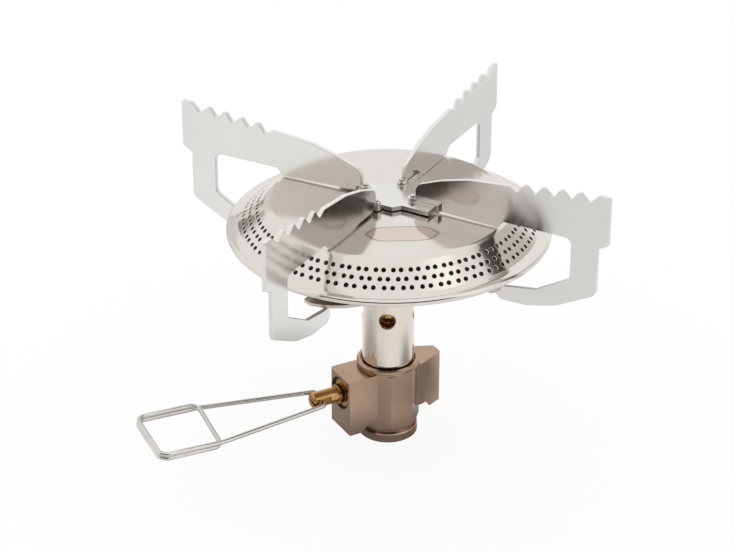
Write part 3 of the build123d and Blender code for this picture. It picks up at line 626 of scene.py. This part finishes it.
# %% Cap values
rim_r, crown_z, rim_z = 55.0, 90.5, 81.0
shoulder = np.array([41.5, 89.6])
foot = np.array([50.9, 81.6])
cap_t, hole_r = 0.6, 0.78
row_out = np.array([3.1, 5.5, 7.8])
row_azimuth, row_turn, pair_pitch, pair_angle = -57.9, 1.8, 7.2, 3.15
slope_way = unit(foot - shoulder)
slope_up = np.array([-slope_way[1], slope_way[0]])
row_along = row_out / slope_way[0]
band_lines = np.array([2.55, (row_along[0] + row_along[1]) / 2, (row_along[1] + row_along[2]) / 2, 11.6])
lattice = row_azimuth + 0.9 * np.arange(400)
print("rows", row_along.round(2), "band lines", band_lines.round(2), "mm down the slope")

# %% Cells with a round hole
def square_ring(count):
    """Fractions (across, along) of the points round a square cell, starting at the middle of its far side."""
    k = np.arange(count)
    n = count // 4
    wave = lambda shift: np.clip((1.5 * n - np.abs((k - shift + 2 * n) % count - 2 * n)) / n, 0, 1)
    return wave(0), wave(n)


def pierced_cells(surface, low, high, left, right, along, azimuth, rims, count):
    """Rings of points from each cell's edge to its hole, through the sheet, and back to the edge.

    surface(along, azimuth, offset, depth) places a point: offset is its distance from the hole's centre
    round the surface. rims holds (hole radius, depth), and the two cell edges lie at the first and last depth.
    """
    across, up = square_ring(count)
    angle = np.arange(count) * 2 * np.pi / count
    edge_along = low[:, None] + (high - low)[:, None] * up
    edge_azimuth = left[:, None] + (right - left)[:, None] * across
    rings = [surface(edge_along, edge_azimuth, 0.0, rims[0][1])]
    for radius, depth in rims:
        level = along[:, None] + radius * np.sin(angle)
        rings.append(surface(level, azimuth[:, None] + 0 * angle, radius * np.cos(angle), depth))
    rings.append(surface(edge_along, edge_azimuth, 0.0, rims[-1][1]))
    return np.stack(rings, 1)


def cell_faces(points, first):
    """Faces of every cell's rings, whose points have the shape (cells, rings, count, 3)."""
    cells, rings, count, _ = points.shape
    one = grid_faces(rings, count, wrap_cols=True)
    return (one[None] + (np.arange(cells) * rings * count)[:, None, None]).reshape(-1, 4) + first


def slope_surface(along, azimuth, offset, depth):
    """Point of the slope: down it by along, round it by offset / r, and inward by depth."""
    r = shoulder[0] + along * slope_way[0]
    angle = np.radians(azimuth) + offset / r
    r = r - depth * slope_up[0]
    return polar(r, angle, shoulder[1] + along * slope_way[1] - depth * slope_up[1])


row, pair, side = (a.ravel() for a in np.meshgrid(np.arange(3), np.arange(50), [-1, 1], indexing="ij"))
pair_azimuth = row_azimuth + row * row_turn + pair * pair_pitch
cap_rims = [(1.02, 0.0), (0.86, 0.0), (0.79, 0.05), (hole_r, 0.14), (hole_r, 0.5), (0.86, cap_t)]
cap_cells = pierced_cells(
    slope_surface, band_lines[row], band_lines[row + 1],
    np.where(side < 0, pair_azimuth - 3.6, pair_azimuth), np.where(side < 0, pair_azimuth, pair_azimuth + 3.6),
    row_along[row], pair_azimuth + side * pair_angle / 2, cap_rims, 16)
print("flame holes:", len(cap_cells), "points", cap_cells.shape)

# %% Cap
def both_sides(points, bends, thickness, arc_steps, along=()):
    """A sheet's profile: along one side, and back along the other, one thickness to the right."""
    path, way = rounded_path(points, bends, arc_steps, along)
    left = np.stack([-way[:, 1], way[:, 0]], 1)
    return path, path - left * thickness


band_top = shoulder + slope_way * band_lines[0]
band_foot = shoulder + slope_way * band_lines[-1]
crown_points = [(2.05, crown_z), (6.0, crown_z), (7.5, crown_z - 0.3), shoulder, band_top]
rim_points = [band_foot, foot, (52.6, rim_z), (rim_r, rim_z), (rim_r, 78.9), (52.6, 78.9)]
crown_top, crown_under = both_sides(crown_points, [2.0, 2.0, 3.0], cap_t, 4, (0.04, 0.5, 0.96))
rim_top, rim_under = both_sides(rim_points, [1.6, 3.0, 0.85, 0.85], cap_t, 5)
crown_grid = spin(np.vstack([crown_under[::-1], crown_top]), lattice)
rim_grid = spin(np.vstack([rim_top, rim_under[::-1]]), lattice)
sizes = [crown_grid.size // 3, rim_grid.size // 3]
cap_points = np.vstack([crown_grid.reshape(-1, 3), rim_grid.reshape(-1, 3), cap_cells.reshape(-1, 3)])
cap_faces = np.vstack([
    grid_faces(*crown_grid.shape[:2], wrap_cols=True), grid_faces(*rim_grid.shape[:2], wrap_cols=True, first=sizes[0]),
    cell_faces(cap_cells, sum(sizes))])
cap = make_piece("cap_pressing", cap_points, cap_faces, "stove", "burner_cap", finishes["cap"])
report(cap)

# %% [markdown]
# ## The bowl under the cap
#
# The bowl is a shallow pressed dish: a flat floor that the tube's nut clamps, a flare, and a flange that
# the cap's rim grips. It is a profile spun round the axis, and the flange keeps its radius of bend on
# both sides of the sheet because the far side is the near one moved along its normal.

# %% Bowl
bowl_z, bowl_t = 70.6, 0.8
flange_z = 78.9 + cap_t + 0.05
bowl_line = [(54.15, flange_z), (52.0, flange_z), (38.5, bowl_z), (8.05, bowl_z)]
bowl_under, bowl_upper = both_sides(bowl_line, [2.0, 6.0], bowl_t, 8, (0.03, 0.5, 0.97))
bowl_grid = spin(np.vstack([bowl_under, bowl_upper[::-1]]), np.arange(0, 360, 1.5))
bowl = make_piece("bowl_pressing", bowl_grid, grid_faces(*bowl_grid.shape[:2], wrap_rows=True, wrap_cols=True),
                  "stove", "burner_bowl", finishes["spun_steel"])
report(bowl)

# %% [markdown]
# ## The mixing tube
#
# The tube draws air through four round holes and mixes it with the gas jet inside. Its plain nickel
# face mirrors everything, so the holes are cells again, this time on a cylinder: a hole drilled square
# to the axis meets a cylinder of radius R at the azimuth asin(offset / R), at the outside and at the
# inside alike.

# %% Tube
tube_r, tube_wall, seat_z, top_z = 9.02, 0.9, 23.6, 69.4
air_z, air_azimuth, air_r, air_half = 47.9, -63.5, 2.9, 3.7
tube_lattice = air_azimuth + 3.75 * np.arange(96)


def tube_surface(along, azimuth, offset, depth):
    """Point of the tube's wall at a height: a drilled point keeps its offset at every depth."""
    r = tube_r - depth
    angle = np.radians(azimuth) + np.arcsin(np.clip(offset / r, -1, 1))
    return polar(r, angle, along)


holes = air_azimuth + 90.0 * np.arange(4)
level = np.full(4, air_z)
tube_rims = [(air_r + 0.22, 0.0), (air_r + 0.09, 0.02), (air_r, 0.14),
             (air_r, 0.76), (air_r + 0.09, 0.88), (air_r + 0.22, tube_wall)]
tube_cells = pierced_cells(tube_surface, level - air_half, level + air_half, holes - 22.5, holes + 22.5, level, holes,
                           tube_rims, 48)
lower_line, _ = rounded_path([(tube_r - tube_wall, air_z - air_half), (tube_r - tube_wall, seat_z), (tube_r, seat_z),
                              (tube_r, air_z - air_half)], [0.2, 0.3], 3, (0.02, 0.98))
upper_line, _ = rounded_path([(tube_r, air_z + air_half), (tube_r, top_z), (8.0, top_z), (8.0, 75.4), (7.1, 75.4),
                              (7.1, 67.4), (tube_r - tube_wall, 67.4), (tube_r - tube_wall, air_z + air_half)],
                             [0.25, 0.1, 0.3, 0.2, 0.2, 0.2], 3, (0.02, 0.98))
lower_grid, upper_grid = spin(lower_line, tube_lattice), spin(upper_line, tube_lattice)
between = np.concatenate([np.arange(6, 18) + 24 * k for k in range(4)]) % 96
gap_z = air_z - air_half + 2 * air_half * np.arange(13) / 12
wall_points, wall_faces, count = [], [], 0
for depth in (0.0, tube_wall):
    wall = spin(np.stack([np.full(13, tube_r - depth), gap_z], 1), tube_lattice)
    quads = grid_faces(13, 96, wrap_cols=True).reshape(12, 96, 4)[:, between].reshape(-1, 4)
    wall_points.append(wall.reshape(-1, 3))
    wall_faces.append(quads + count)
    count += wall.size // 3
tube_parts = [lower_grid.reshape(-1, 3), upper_grid.reshape(-1, 3), tube_cells.reshape(-1, 3)]
for grid in (lower_grid, upper_grid):
    wall_faces.append(grid_faces(*grid.shape[:2], wrap_cols=True, first=count))
    count += grid.size // 3
wall_faces.append(cell_faces(tube_cells, count))
tube = make_piece("mixing_tube", np.vstack(wall_points + tube_parts), np.vstack(wall_faces), "stove", "burner_tube",
                  finishes["nickel"])
tube.data.materials.append(finishes["bore"])
middle = read(tube.data.polygons, "center") / MM
in_bore = (np.hypot(middle[:, 0], middle[:, 1]) < tube_r - 0.2) & (middle[:, 2] > seat_z + 1) & (middle[:, 2] < top_z)
tube.data.polygons.foreach_set("material_index", in_bore.astype(int))
report(tube)

# %% [markdown]
# ## The four supports
#
# Each support is stamped from 1.5 mm sheet: a toothed upper edge that grips a pan, a leg, and a hook
# that slides under the rim. Stamping rolls the edge over on one side and leaves it crisp on the other.
# A Bevel modifier could round the edges, but the teeth are too close for it. Here the outline is one
# closed curve, and rings of it, each a little smaller, carry the edge round a quarter of a circle.

# %% Outline of a support
plate_top, shoulder_z, foot_z = 92.0, 69.4, 90.12 + 0.85
tip_flat, tooth_pitch, tooth_h, tooth_rise, tooth_root, tooth_round = 4.0, 6.4, 2.9, 0.4, 0.8, 1.1
pin_out, knuckle_r, knuckle_h, pin_r = 9.0, 1.65, 1.0, 0.8
knuckle_z = plate_top + 0.4 + 0.15


def support_outline():
    """Corner points (out from the axis, height) and corner radii, from the tip inwards and back by the hook."""
    top = plate_top + 18.1
    leg_in, leg_out, tip = rim_r + 12.5, rim_r + 22.0, rim_r + 25.6
    first_valley = tip - 7.5
    valley = first_valley - tooth_pitch * np.arange(5)
    drop = 0.1 * (tip - tip_flat - valley)
    teeth = [[((v, top - d - tooth_h), tooth_root), ((v - 3.6, top - d + tooth_rise), tooth_round)]
             for v, d in zip(valley, drop)]
    last_peak = first_valley - 28.6
    pivot_end = pin_out + knuckle_r - 0.4
    mid = last_peak - pivot_end
    shoulder_top = top - 0.1 * (tip - last_peak)
    hook_top, hook_tip = shoulder_z - 0.3, rim_r - 14.3
    low = hook_top - 5.3
    return [((tip, top), 0.9), ((tip - tip_flat, top), 0.8)] + sum(teeth, [])[:-1] + [
        ((last_peak, shoulder_top - 0.4), 0.8),
        ((last_peak - 0.42 * mid, shoulder_top - 1.7), 25.0),
        ((last_peak - 0.72 * mid, shoulder_top - 4.4), 25.0),
        ((pivot_end, plate_top + 6.4), 3.6),
        ((pivot_end, knuckle_z), 0.0),
        ((12.0, knuckle_z), 0.3),
        ((12.3, foot_z), 0.5),
        ((shoulder[0] - 0.5, shoulder[1] + 0.5), 0.5),
        ((shoulder[0] + 1.5, plate_top + 0.6), 0.8),
        ((leg_in, plate_top + 0.6), 2.5),
        ((leg_in, hook_top + 8.8), 2.0),
        ((rim_r + 0.2, hook_top + 1.6), 3.0),
        ((hook_tip + 3.8, hook_top), 0.5),
        ((hook_tip + 0.6, hook_top), 0.8),
        ((hook_tip, hook_top - 3.18), 1.2),
        ((hook_tip + 2.2, low), 2.0),
        ((rim_r - 2.5, low + 0.2), 12.0),
        ((rim_r + 8.0, low + 2.9), 14.0),
        ((leg_out, low + 10.3), 3.5),
        ((leg_out, plate_top - 0.9), 0.8),
        ((tip, plate_top + 1.1), 0.8),
    ]


corners = support_outline()
outline_line, _ = rounded_path([c for c, _ in corners], [b for _, b in corners], 7, (), closed=True)
print("support outline:", len(corners), "corners,", len(outline_line), "points")

# %% Sheet with rolled edges
sheet_t = 1.5


def inward(outline):
    """Unit normals that point into a closed outline, lengthened at its corners so that offsets stay even."""
    step = unit(np.roll(outline, -1, axis=0) - outline)
    left = np.stack([-step[:, 1], step[:, 0]], 1)
    mean = unit(left + np.roll(left, 1, axis=0))
    stretch = 1 / np.clip((mean * left).sum(1, keepdims=True), 0.75, 1)
    x, y = outline.T
    area = (x * np.roll(y, -1) - y * np.roll(x, -1)).sum()
    return mean * stretch * np.sign(area)


def stamped_sheet(outline, thickness, crisp, rolled, steps=3):
    """Rings (outline, across) of a sheet whose two edges are quarter circles of the given radii.

    At an angle f a ring is R (1 - sin f) inside the outline and R (1 - cos f) from the face.
    """
    angle = np.linspace(0, np.pi / 2, steps + 1)
    sink = np.concatenate([crisp * (1 - np.sin(angle)), (rolled * (1 - np.sin(angle)))[::-1]])
    across = np.concatenate([-thickness / 2 + crisp * (1 - np.cos(angle)),
                             (thickness / 2 - rolled * (1 - np.cos(angle)))[::-1]])
    rings = outline[None] + inward(outline)[None] * sink[:, None, None]
    return rings, across


rings, across = stamped_sheet(outline_line, sheet_t, 0.12, 0.3)
sheet_points = np.stack([rings[..., 0], across[:, None] + 0 * rings[..., 0], rings[..., 1]], -1)
knuckle_line, _ = rounded_path([(pin_r + 0.06, 0), (knuckle_r, 0), (knuckle_r, knuckle_h), (pin_r + 0.06, knuckle_h)],
                               [0.1, 0.25, 0.25, 0.1], 3, closed=True)
knuckle = spin(knuckle_line, np.arange(0, 360, 10)) + (pin_out, 0, knuckle_z)
print("sheet rings", sheet_points.shape, "knuckle", knuckle.shape)

# %% Supports
rest_swing = [0.0, 0.5, 1.7, 0.0]
support_points = np.vstack([sheet_points.reshape(-1, 3), knuckle.reshape(-1, 3)])
sheet_count, ring_count = len(across), len(outline_line)
support_faces = np.vstack([
    grid_faces(sheet_count, ring_count, wrap_cols=True),
    grid_faces(*knuckle.shape[:2], wrap_rows=True, wrap_cols=True, first=sheet_points.size // 3)])
near_face = list(range(ring_count))
far_face = list(range((sheet_count - 1) * ring_count, sheet_count * ring_count))
cut_rings = np.concatenate([[0.0], np.ones(sheet_count - 2), [0.0]])
cut = np.concatenate([np.repeat(cut_rings, ring_count), np.zeros(knuckle.size // 3)])
blade_uv = support_points[:, [0, 2]] * MM
for number, swing in enumerate(rest_swing):
    placed = turned_about(support_points, "Z", swing, (pin_out, 0, 0))
    placed = turned_about(placed, "Z", 90 * number)
    blade = make_piece(f"support_blade_{number + 1}", placed, support_faces, f"support_{number + 1}",
                       f"pot_support_{number + 1}", finishes["sheet"], [near_face, far_face[::-1]],
                       weld=False)
    mesh = blade.data
    mesh.attributes.new("cut_edge", "FLOAT", "POINT").data.foreach_set("value", cut)
    loop_point = read(mesh.loops, "vertex_index", 1, int)[:, 0]
    mesh.uv_layers.new(name="sheet").data.foreach_set("uv", blade_uv[loop_point].ravel())
    if number == 0:
        report(blade)

# %% [markdown]
# ## The wire handle
#
# The handle is one length of drawn wire, bent into a pair of strands and a rectangle of nearly two
# turns. Its corner points are where a bender would mark the wire. A curve object with a bevel would do,
# but a grid carried along the path gives the finish a coordinate along the wire, which the drawn
# lines need. All its bends lie close to one plane, so a ring square to the path is built from the
# path's direction and that plane's normal.

# %% Wire path
wire_r, pivot_out = 0.8, 26.6
handle_roll, handle_lift = 11.5, 4.0
strand, near, far, wide, step = 3.8, 42.6, 65.2, 10.2, 1.65
wire_end = 2.2 - 1.5
loop = [(near, wide), (far, wide), (far, -wide), (near, -wide)]
route = [(0, wire_end, 0), (0, strand, 0), *[(x, y, 0) for x, y in loop], *[(x, y, -step) for x, y in loop],
         (0, -strand, 0), (0, -wire_end, 0)]
wire_path, wire_way = rounded_path(route, [1.7, 13.6] + [3.0] * 6 + [13.6, 1.7], 10, (0.02, 0.25, 0.5, 0.75, 0.98))
wire_length = float(np.linalg.norm(np.diff(wire_path, axis=0), axis=1).sum())
print("wire length", round(wire_length, 1), "mm in", len(wire_path), "rings")


# %% Handle
def on_valve(points):
    """Points made with the spindle along +X, turned to the valve's azimuth."""
    return turned_about(points, "Z", valve_azimuth)


def wire_tube(path, way, radius, count=16):
    """Ring points path + R (side cos f + up sin f), where side is square to the way and to the handle's normal."""
    side = unit(np.cross(way, (0.0, 0.0, 1.0)))
    up = np.cross(side, way)
    angle = (np.arange(count) * 2 * np.pi / count)[None, :, None]
    return path[:, None] + radius * (side[:, None] * np.cos(angle) + up[:, None] * np.sin(angle))


wire = wire_tube(wire_path, wire_way, wire_r)
small = wire_tube(wire_path[[0, -1]], wire_way[[0, -1]], wire_r * 0.8)
wire = np.concatenate([small[:1] - wire_way[0] * 0.12, wire, small[1:] + wire_way[-1] * 0.12])
wire = turned_about(turned_about(wire, "Y", -handle_lift), "X", -handle_roll) + (pivot_out, 0, spindle_z)
faces = grid_faces(*wire.shape[:2], wrap_cols=True)
last = (len(wire) - 1) * 16
handle = make_piece("handle_wire", on_valve(wire), faces, "handle", "wire_handle", finishes["wire"],
                    [list(range(16)), list(range(last, last + 16))[::-1]])
mesh = handle.data
travel = np.concatenate([[0], np.cumsum(np.linalg.norm(np.diff(wire.mean(1), axis=0), axis=1))]) * MM
corner_point = faces.ravel()
turn_share = (corner_point % 16) / 16.0
late = (turn_share.reshape(-1, 4) == 0) & (turn_share.reshape(-1, 4).max(1, keepdims=True) > 0.5)
turn_share = np.where(late.ravel(), 1.0, turn_share)
uv = np.zeros((len(mesh.loops), 2))
uv[: len(corner_point)] = np.stack([travel[corner_point // 16], turn_share], 1)
mesh.uv_layers.new(name="wire").data.foreach_set("uv", uv.ravel())
report(handle)

# %% [markdown]
# ## Milled and turned pieces
#
# The valve body, the hub plate, the lower plate and the brass pieces have many faces that meet at
# cut edges. Their shapes are right already, so each gets a copy of the engineering mesh, with its
# loose triangles merged and its flats dissolved, and a Bevel modifier that breaks the edges as a
# file would. On the bronze finish the modifier gives the broken edges a second, lighter material:
# partly wear, partly a painted highlight. Making the same faces by hand again would only risk
# getting them wrong.

# %% Merged copies
edge_angle = radians(32)


def merged_copy(name, node, body, finish, edge_width, edge_finish=None, side_finish=None):
    """A welded copy of a CAD node with broken edges, which stands for the node."""
    source = nodes[node].data
    source.calc_loop_triangles()
    faces = read(source.loop_triangles, "vertices", 3, int).tolist()
    mesh = bpy.data.meshes.new(name)
    mesh.from_pydata(read(source.vertices, "co").tolist(), [], faces)
    work = bmesh.new()
    work.from_mesh(mesh)
    bmesh.ops.remove_doubles(work, verts=work.verts, dist=2e-6)
    bmesh.ops.dissolve_degenerate(work, edges=work.edges, dist=2e-6)
    bmesh.ops.dissolve_limit(work, angle_limit=radians(0.4), verts=work.verts, edges=work.edges)
    work.to_mesh(mesh)
    work.free()
    mesh.polygons.foreach_set("use_smooth", np.ones(len(mesh.polygons), bool))
    mesh.set_sharp_from_angle(angle=edge_angle)
    piece = add_object(name, mesh)
    for material in filter(None, (finish, edge_finish, side_finish)):
        mesh.materials.append(material)
    if side_finish:
        upright = np.array([abs(p.normal.z) < 0.3 for p in mesh.polygons])
        mesh.polygons.foreach_set("material_index", upright.astype(int))
    broken = piece.modifiers.new("broken_edges", "BEVEL")
    broken.width, broken.segments, broken.limit_method = edge_width * MM, 2, "ANGLE"
    broken.angle_limit, broken.harden_normals = edge_angle, True
    broken.use_clamp_overlap, broken.miter_outer = True, "MITER_ARC"
    if edge_finish:
        broken.material = 1
    return settle(piece, body, node)


milled = [
    merged_copy("milled_body", "valve_body", "stove", finishes["bronze"], 0.3,
                finishes["bronze_edge_wear_and_highlight"]),
    merged_copy("hub_plate", "pivot_plate", "stove", finishes["bright_plate"], 0.15,
                side_finish=finishes["cut_edge"]),
    merged_copy("lobed_plate", "lower_plate", "stove", finishes["warm_sheet"], 0.15),
]
for name, node, body, finish, width in (
        ("brass_spindle", "spindle", "spindle", "brass", 0.1), ("brass_gland_nut", "gland_nut", "stove", "brass", 0.12),
        ("ring_nut", "tube_nut", "stove", "brass_upright", 0.2),
        ("brass_riser", "gas_riser", "stove", "brass_upright", 0.15),
        ("brass_jet", "jet", "stove", "brass_upright", 0.12)):
    milled.append(merged_copy(name, node, body, finishes[finish], width))
for piece in milled:
    report(piece)

# %% [markdown]
# ## The thread in the socket
#
# Seen from below, the socket shows the fine thread that takes the cartridge: 28 turns to the inch. The
# engineering model leaves it plain, so the thread is one ridge wound round the bore. Its section is a
# low triangle with a small flat, and its height fades at both ends as a cut thread's does.

# %% Socket thread
pitch, bore_r, thread_depth, thread_z, thread_turns = 25.4 / 28, 5.556, 0.42, 0.75, 5.4
turns = np.linspace(0, thread_turns, 5 * 48)
fade = np.clip(np.minimum(turns, thread_turns - turns) / 0.5, 0.03, 1)[:, None]
section_in = np.array([-0.12, 1.0, 1.0, -0.12]) * thread_depth
section_up = np.array([-0.40, -0.06, 0.06, 0.40]) * pitch
ridge_r = bore_r - np.where(section_in < 0, section_in, section_in * fade)
angle = 2 * np.pi * turns[:, None]
ridge_z = thread_z + pitch * turns[:, None] + section_up * (0.3 + 0.7 * fade)
ridge = polar(ridge_r, angle, ridge_z)
ends = [[0, 1, 2, 3], [len(ridge) * 4 - k for k in (1, 2, 3, 4)]]
thread = make_piece("socket_thread", ridge, grid_faces(len(ridge), 4, wrap_cols=True), "stove", None,
                    finishes["bronze_turned"], ends)
report(thread)

# %% [markdown]
# ## Pieces that keep their engineering shape
#
# The remaining nodes are small or mostly hidden: pins, rivet, baffle, rubber rings, the filter and the
# pin that opens the cartridge. Their own meshes are fine, so they only get their finish.

# %% Finishes for the kept nodes
kept = {f"hinge_pin_{number}": "pin_steel" for number in (1, 2, 3, 4)}
kept.update(head_rivet="pin_steel", baffle="spun_steel", cartridge_seal="rubber", spindle_oring="rubber",
            dust_ring="rubber", depressor="brass_upright", inlet_filter="sintered")
for node, finish in kept.items():
    for holder in nodes[node].material_slots:
        holder.material = finishes[finish]
print("kept nodes:", len(kept))
